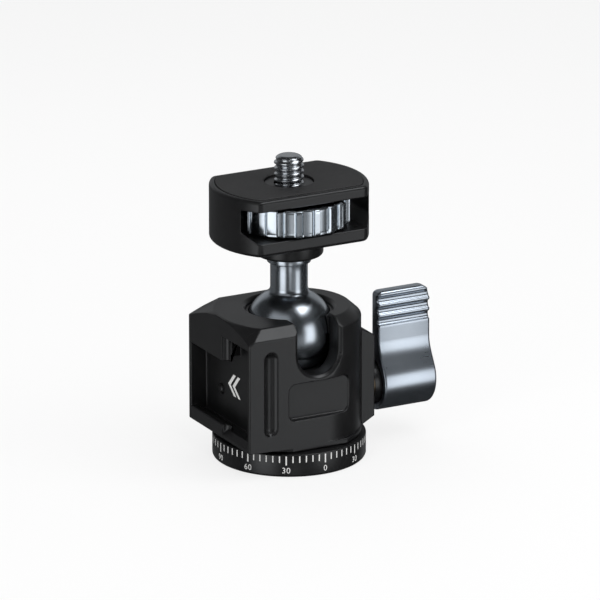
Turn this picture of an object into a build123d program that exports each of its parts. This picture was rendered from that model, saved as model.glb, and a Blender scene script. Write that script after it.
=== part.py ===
from build123d import *
import os
from math import cos, radians, sin, tan

# Tripod ball head, millimetres, +Z up.
# Origin: middle of the underside of the panning base.
# +X runs out along the clamp lever's shaft, -Y faces the drop notch.

# ---------------------------------------------------------------- fits
running_gap = 0.05  # radial, shaft in its bearing
seat_gap = 0.02  # radial, piece held in its seat
face_gap = 0.1  # axial, between faces that turn on each other
ball_gap = 0.15  # ball to liner and to cup

# ---------------------------------------------------------------- panning base
base_radius = 16.4
base_height = 5.0
base_edge = 0.5
base_ring_inner = 9.6
base_ring_outer = 10.6
base_ring_depth = 0.4
spindle_radius = 4.0
spindle_flange_radius = 7.0
spindle_flange_height = 1.6
tripod_tap_radius = 2.6  # tapping size of 1/4-20
tripod_tap_depth = 7.0
tripod_tap_countersink = 0.4

# ---------------------------------------------------------------- housing
housing_lift = 0.2  # running gap over the base
skirt_radius = 15.4
housing_half_depth = 14.0  # flats at front and back
nose_offset = 1.5  # middle of the rounded side that faces the lever
block_reach = 16.8  # side face that carries the slot
block_floor = 6.3
shoulder_drop = 2.1
shoulder_angle = 48
housing_top = 33.0
corner_cone_radius = 16.6  # turned slope over the block's corners
corner_cone_shift = -1.2
corner_cone_angle = 30
bore_radius = 10.1
lip_radius = 9.2
lip_thickness = 1.0
lip_flare = 0.7

# drop notch
notch_half_width = 4.95
notch_floor = 21.4
notch_edge = 0.75

# front recess and relief grooves
plate_width = 15.0
plate_height = 8.1
plate_corner = 1.6
plate_depth = 1.6
plate_centre = 0.2
plate_centre_height = 16.15
relief_offset = 11.65
relief_radius = 1.75
relief_depth = 0.9
relief_low = 11.1  # centres of the round ends
relief_high = 26.6

# lever boss
boss_reach = 17.2
boss_half_width = 6.5
boss_low = 7.4
boss_high = 25.6
boss_slope = 2.2

# side slot for a claw plate
slot_depth = 3.8
slot_low = 9.3
slot_high = 23.5
slot_end_wall = 1.0
lip_wall = 1.6
undercut = 1.1
entry_low = 8.2
entry_high = 29.0
entry_start = 1.4  # the lips end here, towards the front
lip_round = 1.5
entry_flare = 1.2
plunger_radius = 1.0
plunger_length = 2.4
plunger_proud = 0.6
plunger_across = 6.0
plunger_height = 14.6
plunger_bore_depth = 4.4
plunger_spring_wire = 0.3

# ---------------------------------------------------------------- ball and clamp
ball_radius = 9.6
ball_height = 27.6
stem_radius = 4.0
stem_ring_radius = 4.7
stem_ring_low = 42.9
neck_round = 1.8
cup_top = 20.4
cup_skirt_gap = 0.12
liner_height = 3.6
shaft_height = 13.1
journal_radius = 2.5
cam_radius = 3.0
cam_throw = 0.4
cam_half_length = 8.6
cam_gap = 0.15
pilot_radius = 1.5
pilot_length = 1.6
bush_wall = 1.1
bush_length = 6.0
bush_flange = 1.0
bush_flange_radius = 5.0
drive_flat = 3.4
drive_length = 5.0

# ---------------------------------------------------------------- lever
lever_start = 19.8
lever_end = 32.5
hub_radius = 6.5
hub_recess_radius = 5.2
hub_recess_depth = 1.2
tab_front = 3.2
tab_thickness = 3.0
tab_top = 33.6
tab_blend_height = 22.5
tab_round = 1.1
tab_inner_corner = 1.2
tab_outer_corner = 2.3
hub_back_angle = 35
hub_front_angle = 25
waist_length = 2.6
ridge_count = 3
ridge_pitch = 2.4
ridge_first = 31.75
ridge_radius = 1.0
ridge_depth = 0.6
lever_screw_radius = 1.5
lever_screw_head = 2.75
lever_screw_head_height = 2.2
lever_screw_length = 5.0
hex_key_radius = 1.25

# ---------------------------------------------------------------- pan bearing
plug_thickness = 2.0
plug_wrench_radius = 0.8
plug_wrench_circle = 7.6
washer_thickness = 0.4
washer_radius = 6.4
nut_height = 1.8
nut_radius = 6.0

# ---------------------------------------------------------------- camera platform
collar_low = 44.6
collar_radius = 7.3
collar_edge = 0.6
spigot_radius = 2.5
spigot_length = 2.6
platform_low = 48.3
platform_radius = 16.9
platform_half_depth = 11.2
platform_floor = 2.9
window_height = 6.9
platform_roof = 2.4
window_half_width = 15.2
window_corner = 2.2
platform_edge = 0.5
platform_corner = 1.8
stud_hole_radius = 5.3
pad_margin = 1.3
pad_thickness = 0.8
pad_proud = 0.15
collar_screw_count = 3
collar_screw_circle = 5.2
collar_screw_radius = 0.8
collar_screw_head = 1.5
collar_screw_length = 4.6

# thumb wheel and camera stud
wheel_radius = 13.0
wheel_clearance = 0.5
flute_count = 20
flute_width = 2.5
flute_depth = 0.7
wheel_edge = 0.35
hub_rise = 1.2
hub_neck_radius = 5.1
stud_radius = 3.175  # 1/4-20 outer size
stud_shank_radius = 3.0
stud_proud = 5.8
stud_chamfer = 0.6
stud_pilot_radius = 2.0
stud_pilot_length = 1.8
wheel_washer_radius = 6.0
wheel_washer_thickness = 0.4
grub_radius = 1.0
grub_length = 3.0

# ---------------------------------------------------------------- places worked out from the above
housing_low = base_height + housing_lift
shoulder_height = housing_top - shoulder_drop
slot_floor = -(block_reach - slot_depth)
plug_low = housing_low + face_gap
plug_high = plug_low + plug_thickness
friction_low = plug_high + face_gap / 2
nut_low = friction_low + washer_thickness + face_gap / 2
nut_high = nut_low + nut_height
cam_top = shaft_height + cam_throw + cam_radius
cup_low = cam_top + cam_gap
liner_low = housing_top - lip_thickness - seat_gap - liner_height
notch_centre = notch_floor + notch_half_width
bush_radius = journal_radius + running_gap + bush_wall
washer_start = boss_reach + bush_flange + face_gap
window_low = platform_low + platform_floor
window_high = window_low + window_height
platform_top = window_high + platform_roof
wheel_low = window_low + wheel_clearance
wheel_high = window_high - wheel_clearance
shaft_end = lever_start + hub_recess_depth + drive_length

os.makedirs("parts", exist_ok=True)


def keep(piece, name):
    piece.part.label = name
    export_step(piece.part, f"parts/{name}.step")


def draw_body_outline(extra_reach):
    # square block on the slot side, half round on the lever side
    block_length = block_reach + extra_reach + nose_offset
    with Locations((nose_offset - block_length / 2, 0)):
        Rectangle(block_length, 2 * housing_half_depth)
    with Locations((nose_offset, 0)):
        Circle(housing_half_depth)


def draw_platform_outline(inset):
    Circle(platform_radius - inset)
    Rectangle(2 * platform_radius, 2 * (platform_half_depth - inset), mode=Mode.INTERSECT)
    fillet(vertices(), platform_corner)


# ---------------------------------------------------------------- panning base and its bearing
with BuildPart() as pan_base:
    Cylinder(base_radius, base_height, align=(Align.CENTER, Align.CENTER, Align.MIN))
    chamfer(pan_base.edges().filter_by(GeomType.CIRCLE), base_edge)
    with BuildSketch(Plane.XY):
        Circle(base_ring_outer)
        Circle(base_ring_inner, mode=Mode.SUBTRACT)
    extrude(amount=base_ring_depth, mode=Mode.SUBTRACT)
    with BuildSketch(Plane.XY):
        Circle(spindle_flange_radius + seat_gap)
    extrude(amount=spindle_flange_height, mode=Mode.SUBTRACT)
    with BuildSketch(Plane.XY):
        Circle(spindle_radius + seat_gap)
    extrude(amount=base_height, mode=Mode.SUBTRACT)
keep(pan_base, "pan_base")

with BuildPart() as pan_spindle:
    with BuildSketch(Plane.XZ):
        with BuildLine():
            Polyline(
                (0, 0),
                (spindle_flange_radius, 0),
                (spindle_flange_radius, spindle_flange_height),
                (spindle_radius, spindle_flange_height),
                (spindle_radius, nut_high),
                (0, nut_high),
                close=True,
            )
        make_face()
    revolve(axis=Axis.Z)
    with BuildSketch(Plane.XY):
        Circle(tripod_tap_radius)
    extrude(amount=tripod_tap_depth, mode=Mode.SUBTRACT)
    mouth = pan_spindle.edges().filter_by(GeomType.CIRCLE).group_by(Axis.Z)[0].sort_by(SortBy.RADIUS)[0]
    chamfer(mouth, tripod_tap_countersink)
keep(pan_spindle, "pan_spindle")

with BuildPart() as pan_nut:
    with BuildSketch(Plane.XY.offset(nut_low)):
        RegularPolygon(nut_radius, 6)
        Circle(spindle_radius + seat_gap, mode=Mode.SUBTRACT)
    extrude(amount=nut_height)
keep(pan_nut, "pan_nut")

with BuildPart() as friction_washer:
    with BuildSketch(Plane.XY.offset(friction_low)):
        Circle(washer_radius)
        Circle(spindle_radius + running_gap, mode=Mode.SUBTRACT)
    extrude(amount=washer_thickness)
keep(friction_washer, "friction_washer")

with BuildPart() as bottom_plug:
    with BuildSketch(Plane.XY.offset(plug_low)):
        Circle(bore_radius - seat_gap)
        Circle(spindle_radius + running_gap, mode=Mode.SUBTRACT)
        with PolarLocations(plug_wrench_circle, 4, start_angle=45):
            Circle(plug_wrench_radius, mode=Mode.SUBTRACT)
    extrude(amount=plug_thickness)
keep(bottom_plug, "bottom_plug")

# ---------------------------------------------------------------- housing
with BuildPart() as housing:
    # round skirt with two flats, then the body squared off towards the side slot
    with BuildSketch(Plane.XY.offset(housing_low)):
        Circle(skirt_radius)
        Rectangle(2 * skirt_radius, 2 * housing_half_depth, mode=Mode.INTERSECT)
    extrude(amount=block_floor - housing_low)
    with BuildSketch(Plane.XY.offset(block_floor)):
        draw_body_outline(0)
    extrude(amount=shoulder_height - block_floor)
    # the shoulder slopes in on three sides, the slot side stays upright
    with BuildSketch(Plane.XY.offset(shoulder_height)):
        draw_body_outline(2 * shoulder_drop)
    extrude(amount=shoulder_drop, taper=shoulder_angle)
    with BuildSketch(Plane.XY.offset(shoulder_height)):
        with Locations((-block_reach - 2 * shoulder_drop, 0)):
            Rectangle(4 * shoulder_drop, 2 * housing_half_depth + 2)
    extrude(amount=shoulder_drop + 1, mode=Mode.SUBTRACT)
    # the block's upper corners are turned off by a cone
    cone_reach = block_reach / 2
    cone_drop = cone_reach * tan(radians(corner_cone_angle))
    with BuildSketch(Plane.XZ.offset(-corner_cone_shift)):
        Polygon(
            (corner_cone_radius, housing_top),
            (corner_cone_radius + cone_reach, housing_top - cone_drop),
            (corner_cone_radius + cone_reach, housing_top + 1),
            (corner_cone_radius, housing_top + 1),
            align=None,
        )
    revolve(axis=Axis((0, corner_cone_shift, 0), (0, 0, 1)), mode=Mode.SUBTRACT)
    # boss that carries the lever's shaft, sloped above and below
    with BuildSketch(Plane.XZ):
        with BuildLine():
            Polyline(
                (0, boss_low - boss_slope),
                (skirt_radius - boss_slope, boss_low - boss_slope),
                (boss_reach, boss_low),
                (boss_reach, boss_high),
                (skirt_radius - boss_slope, boss_high + boss_slope),
                (0, boss_high + boss_slope),
                close=True,
            )
        make_face()
    extrude(amount=boss_half_width, both=True)
    # main bore, mouth and flare
    with BuildSketch(Plane.XY.offset(housing_low)):
        Circle(bore_radius)
    extrude(amount=housing_top - lip_thickness - housing_low, mode=Mode.SUBTRACT)
    with BuildSketch(Plane.XY.offset(housing_low)):
        Circle(lip_radius)
    extrude(amount=housing_top - housing_low, mode=Mode.SUBTRACT)
    mouth = housing.faces().sort_by(Axis.Z)[-1].inner_wires().edges()
    chamfer(mouth, lip_flare)
    # drop notch
    with BuildSketch(Plane.XZ):
        with BuildLine():
            Line((notch_half_width, housing_top + 1), (notch_half_width, notch_centre))
            ThreePointArc(
                (notch_half_width, notch_centre), (0, notch_floor), (-notch_half_width, notch_centre)
            )
            Polyline(
                (-notch_half_width, notch_centre),
                (-notch_half_width, housing_top + 1),
                (notch_half_width, housing_top + 1),
            )
        make_face()
    extrude(amount=housing_half_depth + 1, mode=Mode.SUBTRACT)
    notch_rim = (
        housing.edges()
        .filter_by(lambda e: abs(e.center().Y + housing_half_depth) < notch_edge)
        .filter_by(lambda e: abs(e.center().X) < notch_half_width + 0.1)
        .filter_by(lambda e: e.center().Z > notch_floor - 0.1)
    )
    chamfer(notch_rim, notch_edge)
    # shaft bore in the boss, pilot bore opposite
    with BuildSketch(Plane.YZ):
        with Locations((0, shaft_height)):
            Circle(bush_radius + seat_gap)
    extrude(amount=boss_reach, mode=Mode.SUBTRACT)
    with BuildSketch(Plane.YZ.offset(-bore_radius - pilot_length)):
        with Locations((0, shaft_height)):
            Circle(pilot_radius + running_gap)
    extrude(amount=bore_radius, mode=Mode.SUBTRACT)
    # bare recess on the front
    with BuildSketch(Plane.XZ.offset(housing_half_depth - plate_depth)):
        with Locations((plate_centre, plate_centre_height)):
            RectangleRounded(plate_width, plate_height, plate_corner)
    extrude(amount=plate_depth + 1, mode=Mode.SUBTRACT)
    # round-bottomed relief grooves with ball ends on both flats
    for side in (-1, 1):
        groove_centre = side * (housing_half_depth + relief_radius - relief_depth)
        with BuildSketch(Plane.XY.offset(relief_low)):
            with Locations((-relief_offset, groove_centre)):
                Circle(relief_radius)
        extrude(amount=relief_high - relief_low, mode=Mode.SUBTRACT)
        with Locations(
            (-relief_offset, groove_centre, relief_low), (-relief_offset, groove_centre, relief_high)
        ):
            Sphere(relief_radius, mode=Mode.SUBTRACT)
    # side slot: open pocket, then the undercut behind the lips
    slot_half = housing_half_depth - slot_end_wall
    with BuildSketch(Plane.YZ.offset(-block_reach - 1)):
        with Locations((0, (slot_low + slot_high) / 2)):
            Rectangle(2 * slot_half, slot_high - slot_low)
    extrude(amount=slot_depth + 1, mode=Mode.SUBTRACT)
    with BuildSketch(Plane.YZ.offset(-block_reach + lip_wall)):
        with Locations((0, (slot_low + slot_high) / 2)):
            Rectangle(2 * slot_half, slot_high - slot_low + 2 * undercut)
    extrude(amount=slot_depth - lip_wall, mode=Mode.SUBTRACT)
    # taller entry at the front end, where the plate drops in
    with BuildSketch(Plane.XY.offset(entry_low)):
        with BuildLine():
            Line((-block_reach - 1, -entry_start), (-block_reach, -entry_start))
            CenterArc((-block_reach, -entry_start - lip_round), lip_round, 0, 90)
            Polyline(
                (-block_reach + lip_round, -entry_start - lip_round),
                (slot_floor, -entry_start - lip_round),
                (slot_floor, -slot_half),
                (-block_reach - 1, -slot_half),
                (-block_reach - 1, -entry_start),
            )
        make_face()
    extrude(amount=entry_high - entry_low, mode=Mode.SUBTRACT)
    entry_sill = (
        housing.edges()
        .filter_by(Axis.Y)
        .filter_by(lambda e: abs(e.center().X + block_reach) < running_gap)
        .filter_by(lambda e: abs(e.center().Z - entry_low) < running_gap)
    )
    chamfer(entry_sill, entry_flare)
    # blind bore of the spring plunger
    with BuildSketch(Plane.YZ.offset(slot_floor)):
        with Locations((plunger_across, plunger_height)):
            Circle(plunger_radius + running_gap)
    extrude(amount=plunger_bore_depth, mode=Mode.SUBTRACT)
keep(housing, "housing")

with BuildPart() as slot_plunger:
    with BuildSketch(Plane.YZ.offset(slot_floor - plunger_proud)):
        with Locations((plunger_across, plunger_height)):
            Circle(plunger_radius)
    extrude(amount=plunger_length)
    fillet(slot_plunger.edges().filter_by(GeomType.CIRCLE).sort_by(Axis.X)[0], plunger_radius * 0.7)
keep(slot_plunger, "slot_plunger")

with BuildPart() as plunger_spring:
    spring_start = slot_floor - plunger_proud + plunger_length
    spring_end = slot_floor + plunger_bore_depth
    with BuildSketch(Plane.YZ.offset(spring_start)):
        with Locations((plunger_across, plunger_height)):
            Circle(plunger_radius - 2 * running_gap)
            Circle(plunger_radius - 2 * running_gap - plunger_spring_wire, mode=Mode.SUBTRACT)
    extrude(amount=spring_end - spring_start)
keep(plunger_spring, "plunger_spring")

with BuildPart() as socket_liner:
    with BuildSketch(Plane.XY.offset(liner_low)):
        Circle(bore_radius - seat_gap)
    extrude(amount=liner_height)
    with Locations((0, 0, ball_height)):
        Sphere(ball_radius + ball_gap, mode=Mode.SUBTRACT)
    with BuildSketch(Plane.XY.offset(liner_low)):
        with Locations((0, -bore_radius)):
            Rectangle(2 * notch_half_width, 2 * bore_radius)
    extrude(amount=liner_height, mode=Mode.SUBTRACT)
keep(socket_liner, "socket_liner")

with BuildPart() as seat_cup:
    with BuildSketch(Plane.XY.offset(cup_low)):
        Circle(bore_radius - cup_skirt_gap)
    extrude(amount=cup_top - cup_low)
    with Locations((0, 0, ball_height)):
        Sphere(ball_radius + ball_gap, mode=Mode.SUBTRACT)
keep(seat_cup, "seat_cup")

# ---------------------------------------------------------------- ball with its stem
with BuildPart() as ball_stem:
    with Locations((0, 0, ball_height)):
        Sphere(ball_radius)
    with BuildSketch(Plane.XY.offset(ball_height)):
        Circle(stem_radius)
    extrude(amount=collar_low - ball_height)
    neck = (
        ball_stem.edges()
        .filter_by(GeomType.CIRCLE)
        .filter_by(lambda e: ball_height < e.center().Z < stem_ring_low)
    )
    fillet(neck, neck_round)
    with BuildSketch(Plane.XY.offset(stem_ring_low)):
        Circle(stem_ring_radius)
    extrude(amount=collar_low - face_gap / 2 - stem_ring_low)
    with BuildSketch(Plane.XY.offset(collar_low - face_gap)):
        Circle(spigot_radius)
    extrude(amount=spigot_length)
keep(ball_stem, "ball_stem")

# ---------------------------------------------------------------- clamp shaft and lever
with BuildPart() as cam_shaft:
    with BuildSketch(Plane.YZ.offset(-bore_radius - pilot_length + face_gap)):
        with Locations((0, shaft_height)):
            Circle(pilot_radius)
    extrude(amount=bore_radius + pilot_length - face_gap)
    with BuildSketch(Plane.YZ.offset(-cam_half_length)):
        with Locations((0, shaft_height + cam_throw)):
            Circle(cam_radius)
    extrude(amount=2 * cam_half_length)
    with BuildSketch(Plane.YZ):
        with Locations((0, shaft_height)):
            Circle(journal_radius)
    extrude(amount=lever_start + hub_recess_depth - face_gap)
    with BuildSketch(Plane.YZ):
        with Locations((0, shaft_height)):
            Rectangle(drive_flat, drive_flat)
    extrude(amount=shaft_end - face_gap)
    with BuildSketch(Plane.YZ.offset(shaft_end - lever_screw_length)):
        with Locations((0, shaft_height)):
            Circle(lever_screw_radius + seat_gap)
    extrude(amount=lever_screw_length, mode=Mode.SUBTRACT)
keep(cam_shaft, "cam_shaft")

with BuildPart() as shaft_bush:
    with BuildSketch(Plane.YZ.offset(boss_reach - bush_length)):
        with Locations((0, shaft_height)):
            Circle(bush_radius)
    extrude(amount=bush_length)
    with BuildSketch(Plane.YZ.offset(boss_reach)):
        with Locations((0, shaft_height)):
            Circle(bush_flange_radius)
    extrude(amount=bush_flange)
    with BuildSketch(Plane.YZ.offset(boss_reach - bush_length)):
        with Locations((0, shaft_height)):
            Circle(journal_radius + running_gap)
    extrude(amount=bush_length + bush_flange, mode=Mode.SUBTRACT)
keep(shaft_bush, "shaft_bush")

with BuildPart() as lever_washer:
    with BuildSketch(Plane.YZ.offset(washer_start)):
        with Locations((0, shaft_height)):
            Circle(bush_flange_radius)
            Circle(journal_radius + running_gap, mode=Mode.SUBTRACT)
    extrude(amount=lever_start + hub_recess_depth - washer_start - face_gap)
keep(lever_washer, "lever_washer")

with BuildPart() as clamp_lever:
    # side outline: round hub, waist on both sides, thin upright tab
    tab_back = tab_front - tab_thickness
    back_y = hub_radius * cos(radians(hub_back_angle))
    back_z = shaft_height + hub_radius * sin(radians(hub_back_angle))
    front_y = -hub_radius * cos(radians(hub_front_angle))
    front_z = shaft_height + hub_radius * sin(radians(hub_front_angle))
    back_waist_y = waist_length * sin(radians(hub_back_angle))
    back_waist_z = waist_length * cos(radians(hub_back_angle))
    front_waist_y = waist_length * sin(radians(hub_front_angle))
    front_waist_z = waist_length * cos(radians(hub_front_angle))
    with BuildSketch(Plane.YZ.offset(lever_start)):
        with Locations((0, shaft_height)):
            Circle(hub_radius)
        with BuildLine():
            Line((-tab_front, tab_blend_height), (-tab_front, tab_top))
            Line((-tab_front, tab_top), (-tab_back, tab_top))
            Line((-tab_back, tab_top), (-tab_back, tab_blend_height))
            Bezier(
                (-tab_back, tab_blend_height),
                (-tab_back, tab_blend_height - waist_length),
                (back_y - back_waist_y, back_z + back_waist_z),
                (back_y, back_z),
            )
            Line((back_y, back_z), (front_y, front_z))
            Bezier(
                (front_y, front_z),
                (front_y + front_waist_y, front_z + front_waist_z),
                (-tab_front, tab_blend_height - waist_length),
                (-tab_front, tab_blend_height),
            )
        make_face()
    extrude(amount=lever_end - lever_start)
    tip_edges = clamp_lever.edges().filter_by(Axis.X).group_by(Axis.Z)[-1]
    fillet(tip_edges, tab_round)
    # finger ridges
    for ridge in range(ridge_count):
        ridge_height = ridge_first - ridge * ridge_pitch
        with BuildSketch(Plane.YZ.offset(lever_start)):
            with Locations((-tab_front - ridge_radius + ridge_depth, ridge_height)):
                Circle(ridge_radius)
        extrude(amount=lever_end - lever_start, mode=Mode.SUBTRACT)
    # rounded upper corners of the tab
    for corner_x, corner_round in ((lever_start, -tab_inner_corner), (lever_end, tab_outer_corner)):
        with BuildSketch(Plane.XZ):
            with Locations((corner_x, tab_top)):
                Rectangle(2 * abs(corner_round), 2 * abs(corner_round))
            with Locations((corner_x - corner_round, tab_top - abs(corner_round))):
                Circle(abs(corner_round), mode=Mode.SUBTRACT)
        extrude(amount=hub_radius, both=True, mode=Mode.SUBTRACT)
    # recess over the washer, square drive and screw seat
    with BuildSketch(Plane.YZ.offset(lever_start)):
        with Locations((0, shaft_height)):
            Circle(hub_recess_radius)
    extrude(amount=hub_recess_depth, mode=Mode.SUBTRACT)
    with BuildSketch(Plane.YZ.offset(lever_start)):
        with Locations((0, shaft_height)):
            Rectangle(drive_flat + 2 * seat_gap, drive_flat + 2 * seat_gap)
    extrude(amount=shaft_end - lever_start, mode=Mode.SUBTRACT)
    with BuildSketch(Plane.YZ.offset(lever_start)):
        with Locations((0, shaft_height)):
            Circle(lever_screw_radius + running_gap)
    extrude(amount=lever_end - lever_start, mode=Mode.SUBTRACT)
    with BuildSketch(Plane.YZ.offset(lever_end - lever_screw_head_height - 1)):
        with Locations((0, shaft_height)):
            Circle(lever_screw_head + 2 * running_gap)
    extrude(amount=lever_screw_head_height + 1, mode=Mode.SUBTRACT)
keep(clamp_lever, "clamp_lever")

with BuildPart() as lever_screw:
    head_low = lever_end - lever_screw_head_height - 1
    screw_low = shaft_end - lever_screw_length + face_gap
    with BuildSketch(Plane.YZ.offset(screw_low)):
        with Locations((0, shaft_height)):
            Circle(lever_screw_radius)
    extrude(amount=head_low - screw_low)
    with BuildSketch(Plane.YZ.offset(head_low)):
        with Locations((0, shaft_height)):
            Circle(lever_screw_head)
    extrude(amount=lever_screw_head_height)
    with BuildSketch(Plane.YZ.offset(head_low + lever_screw_head_height / 2)):
        with Locations((0, shaft_height)):
            RegularPolygon(hex_key_radius, 6)
    extrude(amount=lever_screw_head_height / 2, mode=Mode.SUBTRACT)
keep(lever_screw, "lever_screw")

# ---------------------------------------------------------------- camera platform
with BuildPart() as stem_collar:
    with BuildSketch(Plane.XY.offset(collar_low)):
        Circle(collar_radius)
    extrude(amount=platform_low - collar_low)
    chamfer(stem_collar.edges().filter_by(GeomType.CIRCLE).group_by(Axis.Z)[0], collar_edge)
    with BuildSketch(Plane.XY.offset(collar_low)):
        Circle(spigot_radius + running_gap)
    extrude(amount=spigot_length, mode=Mode.SUBTRACT)
    with BuildSketch(Plane.XY.offset(window_low - collar_screw_length)):
        with PolarLocations(collar_screw_circle, collar_screw_count):
            Circle(collar_screw_radius + seat_gap)
    extrude(amount=collar_screw_length, mode=Mode.SUBTRACT)
keep(stem_collar, "stem_collar")

with BuildPart() as platform:
    with BuildSketch(Plane.XY.offset(platform_low)):
        draw_platform_outline(0)
    extrude(amount=platform_top - platform_low)
    outer_rims = platform.faces().filter_by(Axis.Z).edges()
    chamfer(outer_rims, platform_edge)
    # window for the thumb wheel, its lower corners sloped
    with BuildSketch(Plane.XZ):
        with BuildLine():
            Polyline(
                (-window_half_width, window_low + window_corner),
                (-window_half_width + window_corner, window_low),
                (window_half_width - window_corner, window_low),
                (window_half_width, window_low + window_corner),
                (window_half_width, window_high),
                (-window_half_width, window_high),
                close=True,
            )
        make_face()
    extrude(amount=platform_half_depth + 1, both=True, mode=Mode.SUBTRACT)
    with BuildSketch(Plane.XY.offset(window_high)):
        Circle(stud_hole_radius)
    extrude(amount=platform_roof, mode=Mode.SUBTRACT)
    # seat of the rubber pad
    with BuildSketch(Plane.XY.offset(platform_top - pad_thickness)):
        draw_platform_outline(pad_margin)
    extrude(amount=pad_thickness, mode=Mode.SUBTRACT)
    with BuildSketch(Plane.XY.offset(window_low - stud_pilot_length - face_gap)):
        Circle(stud_pilot_radius + running_gap)
    extrude(amount=stud_pilot_length + face_gap, mode=Mode.SUBTRACT)
    with BuildSketch(Plane.XY.offset(platform_low)):
        with PolarLocations(collar_screw_circle, collar_screw_count):
            Circle(collar_screw_radius + seat_gap)
    extrude(amount=platform_floor, mode=Mode.SUBTRACT)
    with BuildSketch(Plane.XY.offset(window_low - collar_screw_head + collar_screw_radius - seat_gap)):
        with PolarLocations(collar_screw_circle, collar_screw_count):
            Circle(collar_screw_head + seat_gap)
    extrude(amount=collar_screw_head - collar_screw_radius + seat_gap, mode=Mode.SUBTRACT)
keep(platform, "platform")

with BuildPart() as collar_screws:
    head_height = collar_screw_head - collar_screw_radius
    with BuildSketch(Plane.XY.offset(window_low - collar_screw_length + face_gap)):
        with PolarLocations(collar_screw_circle, collar_screw_count):
            Circle(collar_screw_radius)
    extrude(amount=collar_screw_length - face_gap - head_height)
    with BuildSketch(Plane.XY.offset(window_low - head_height)):
        with PolarLocations(collar_screw_circle, collar_screw_count):
            Circle(collar_screw_head)
    extrude(amount=head_height)
keep(collar_screws, "collar_screws")

with BuildPart() as top_pad:
    with BuildSketch(Plane.XY.offset(platform_top - pad_thickness)):
        draw_platform_outline(pad_margin + seat_gap)
        Circle(stud_hole_radius, mode=Mode.SUBTRACT)
    extrude(amount=pad_thickness + pad_proud)
keep(top_pad, "top_pad")

with BuildPart() as thumb_wheel:
    with BuildSketch(Plane.XY.offset(wheel_low)):
        Circle(wheel_radius)
    extrude(amount=wheel_high - wheel_low)
    chamfer(thumb_wheel.edges().filter_by(GeomType.CIRCLE), wheel_edge)
    with BuildSketch(Plane.XY.offset(wheel_high)):
        Circle(hub_neck_radius)
    extrude(amount=hub_rise)
    with BuildSketch(Plane.XY.offset(wheel_low)):
        with PolarLocations(wheel_radius, flute_count, start_angle=180 / flute_count):
            Rectangle(2 * flute_depth, flute_width)
    extrude(amount=wheel_high - wheel_low, mode=Mode.SUBTRACT)
    with BuildSketch(Plane.XY.offset(wheel_low)):
        Circle(stud_shank_radius + seat_gap)
    extrude(amount=wheel_high + hub_rise - wheel_low, mode=Mode.SUBTRACT)
    with BuildSketch(Plane.YZ):
        with Locations((0, wheel_high - grub_radius - 1)):
            Circle(grub_radius + seat_gap)
    extrude(amount=wheel_radius, mode=Mode.SUBTRACT)
keep(thumb_wheel, "thumb_wheel")

with BuildPart() as wheel_grub:
    with BuildSketch(Plane.YZ.offset(stud_shank_radius + seat_gap)):
        with Locations((0, wheel_high - grub_radius - 1)):
            Circle(grub_radius)
    extrude(amount=grub_length)
keep(wheel_grub, "wheel_grub")

with BuildPart() as wheel_washer:
    with BuildSketch(Plane.XY.offset(window_low + face_gap / 2)):
        Circle(wheel_washer_radius)
        Circle(stud_shank_radius + seat_gap, mode=Mode.SUBTRACT)
    extrude(amount=wheel_washer_thickness)
keep(wheel_washer, "wheel_washer")

with BuildPart() as camera_stud:
    stud_top = platform_top + stud_proud
    with BuildSketch(Plane.XY.offset(window_low + face_gap / 2)):
        Circle(stud_shank_radius)
    extrude(amount=platform_top - window_low)
    with BuildSketch(Plane.XY.offset(platform_top)):
        Circle(stud_radius)
    extrude(amount=stud_proud)
    chamfer(camera_stud.edges().filter_by(GeomType.CIRCLE).sort_by(Axis.Z)[-1], stud_chamfer)
    with BuildSketch(Plane.XY.offset(window_low - stud_pilot_length)):
        Circle(stud_pilot_radius)
    extrude(amount=stud_pilot_length + 1)
keep(camera_stud, "camera_stud")
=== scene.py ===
import bpy
import bmesh
import math
import numpy as np
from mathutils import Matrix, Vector


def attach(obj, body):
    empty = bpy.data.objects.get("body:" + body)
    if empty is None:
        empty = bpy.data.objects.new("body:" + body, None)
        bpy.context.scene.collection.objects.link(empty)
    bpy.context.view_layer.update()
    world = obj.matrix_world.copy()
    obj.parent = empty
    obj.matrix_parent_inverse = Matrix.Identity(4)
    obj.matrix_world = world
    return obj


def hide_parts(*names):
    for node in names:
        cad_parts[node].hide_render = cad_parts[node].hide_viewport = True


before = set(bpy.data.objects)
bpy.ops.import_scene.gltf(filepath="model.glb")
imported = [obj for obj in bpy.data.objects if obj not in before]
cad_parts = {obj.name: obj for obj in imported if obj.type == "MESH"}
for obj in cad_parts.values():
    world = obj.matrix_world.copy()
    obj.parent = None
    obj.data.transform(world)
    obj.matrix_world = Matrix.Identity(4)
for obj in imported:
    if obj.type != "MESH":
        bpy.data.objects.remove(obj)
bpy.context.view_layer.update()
mm = 0.001
# metres within which points are one point: in new pieces, and in copies of the CAD solids
merge = {"new": 1e-7, "copied": 2e-6}
print("frame loaded")


def newObject(name, mesh):
    piece = bpy.data.objects.new(name, mesh)
    bpy.context.scene.collection.objects.link(piece)
    return piece


def smoothMesh(mesh, sharpAngle=32):
    # every face smooth, edges steeper than the angle kept sharp
    mesh.polygons.foreach_set("use_smooth", np.ones(len(mesh.polygons), bool))
    mesh.set_sharp_from_angle(angle=math.radians(sharpAngle))
    mesh.update()


def gridFaces(rows, columns, closeRows=False, closeColumns=False):
    # quads between neighbouring rows and columns, wrapped round where a side is closed
    i = np.arange(rows if closeRows else rows - 1)
    j = np.arange(columns if closeColumns else columns - 1)
    a, b = np.meshgrid(i, j, indexing="ij")
    nextA = (a + 1) % rows
    nextB = (b + 1) % columns
    corners = [a * columns + b, nextA * columns + b, nextA * columns + nextB, a * columns + nextB]
    return np.stack(corners, axis=-1).reshape(-1, 4)


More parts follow.
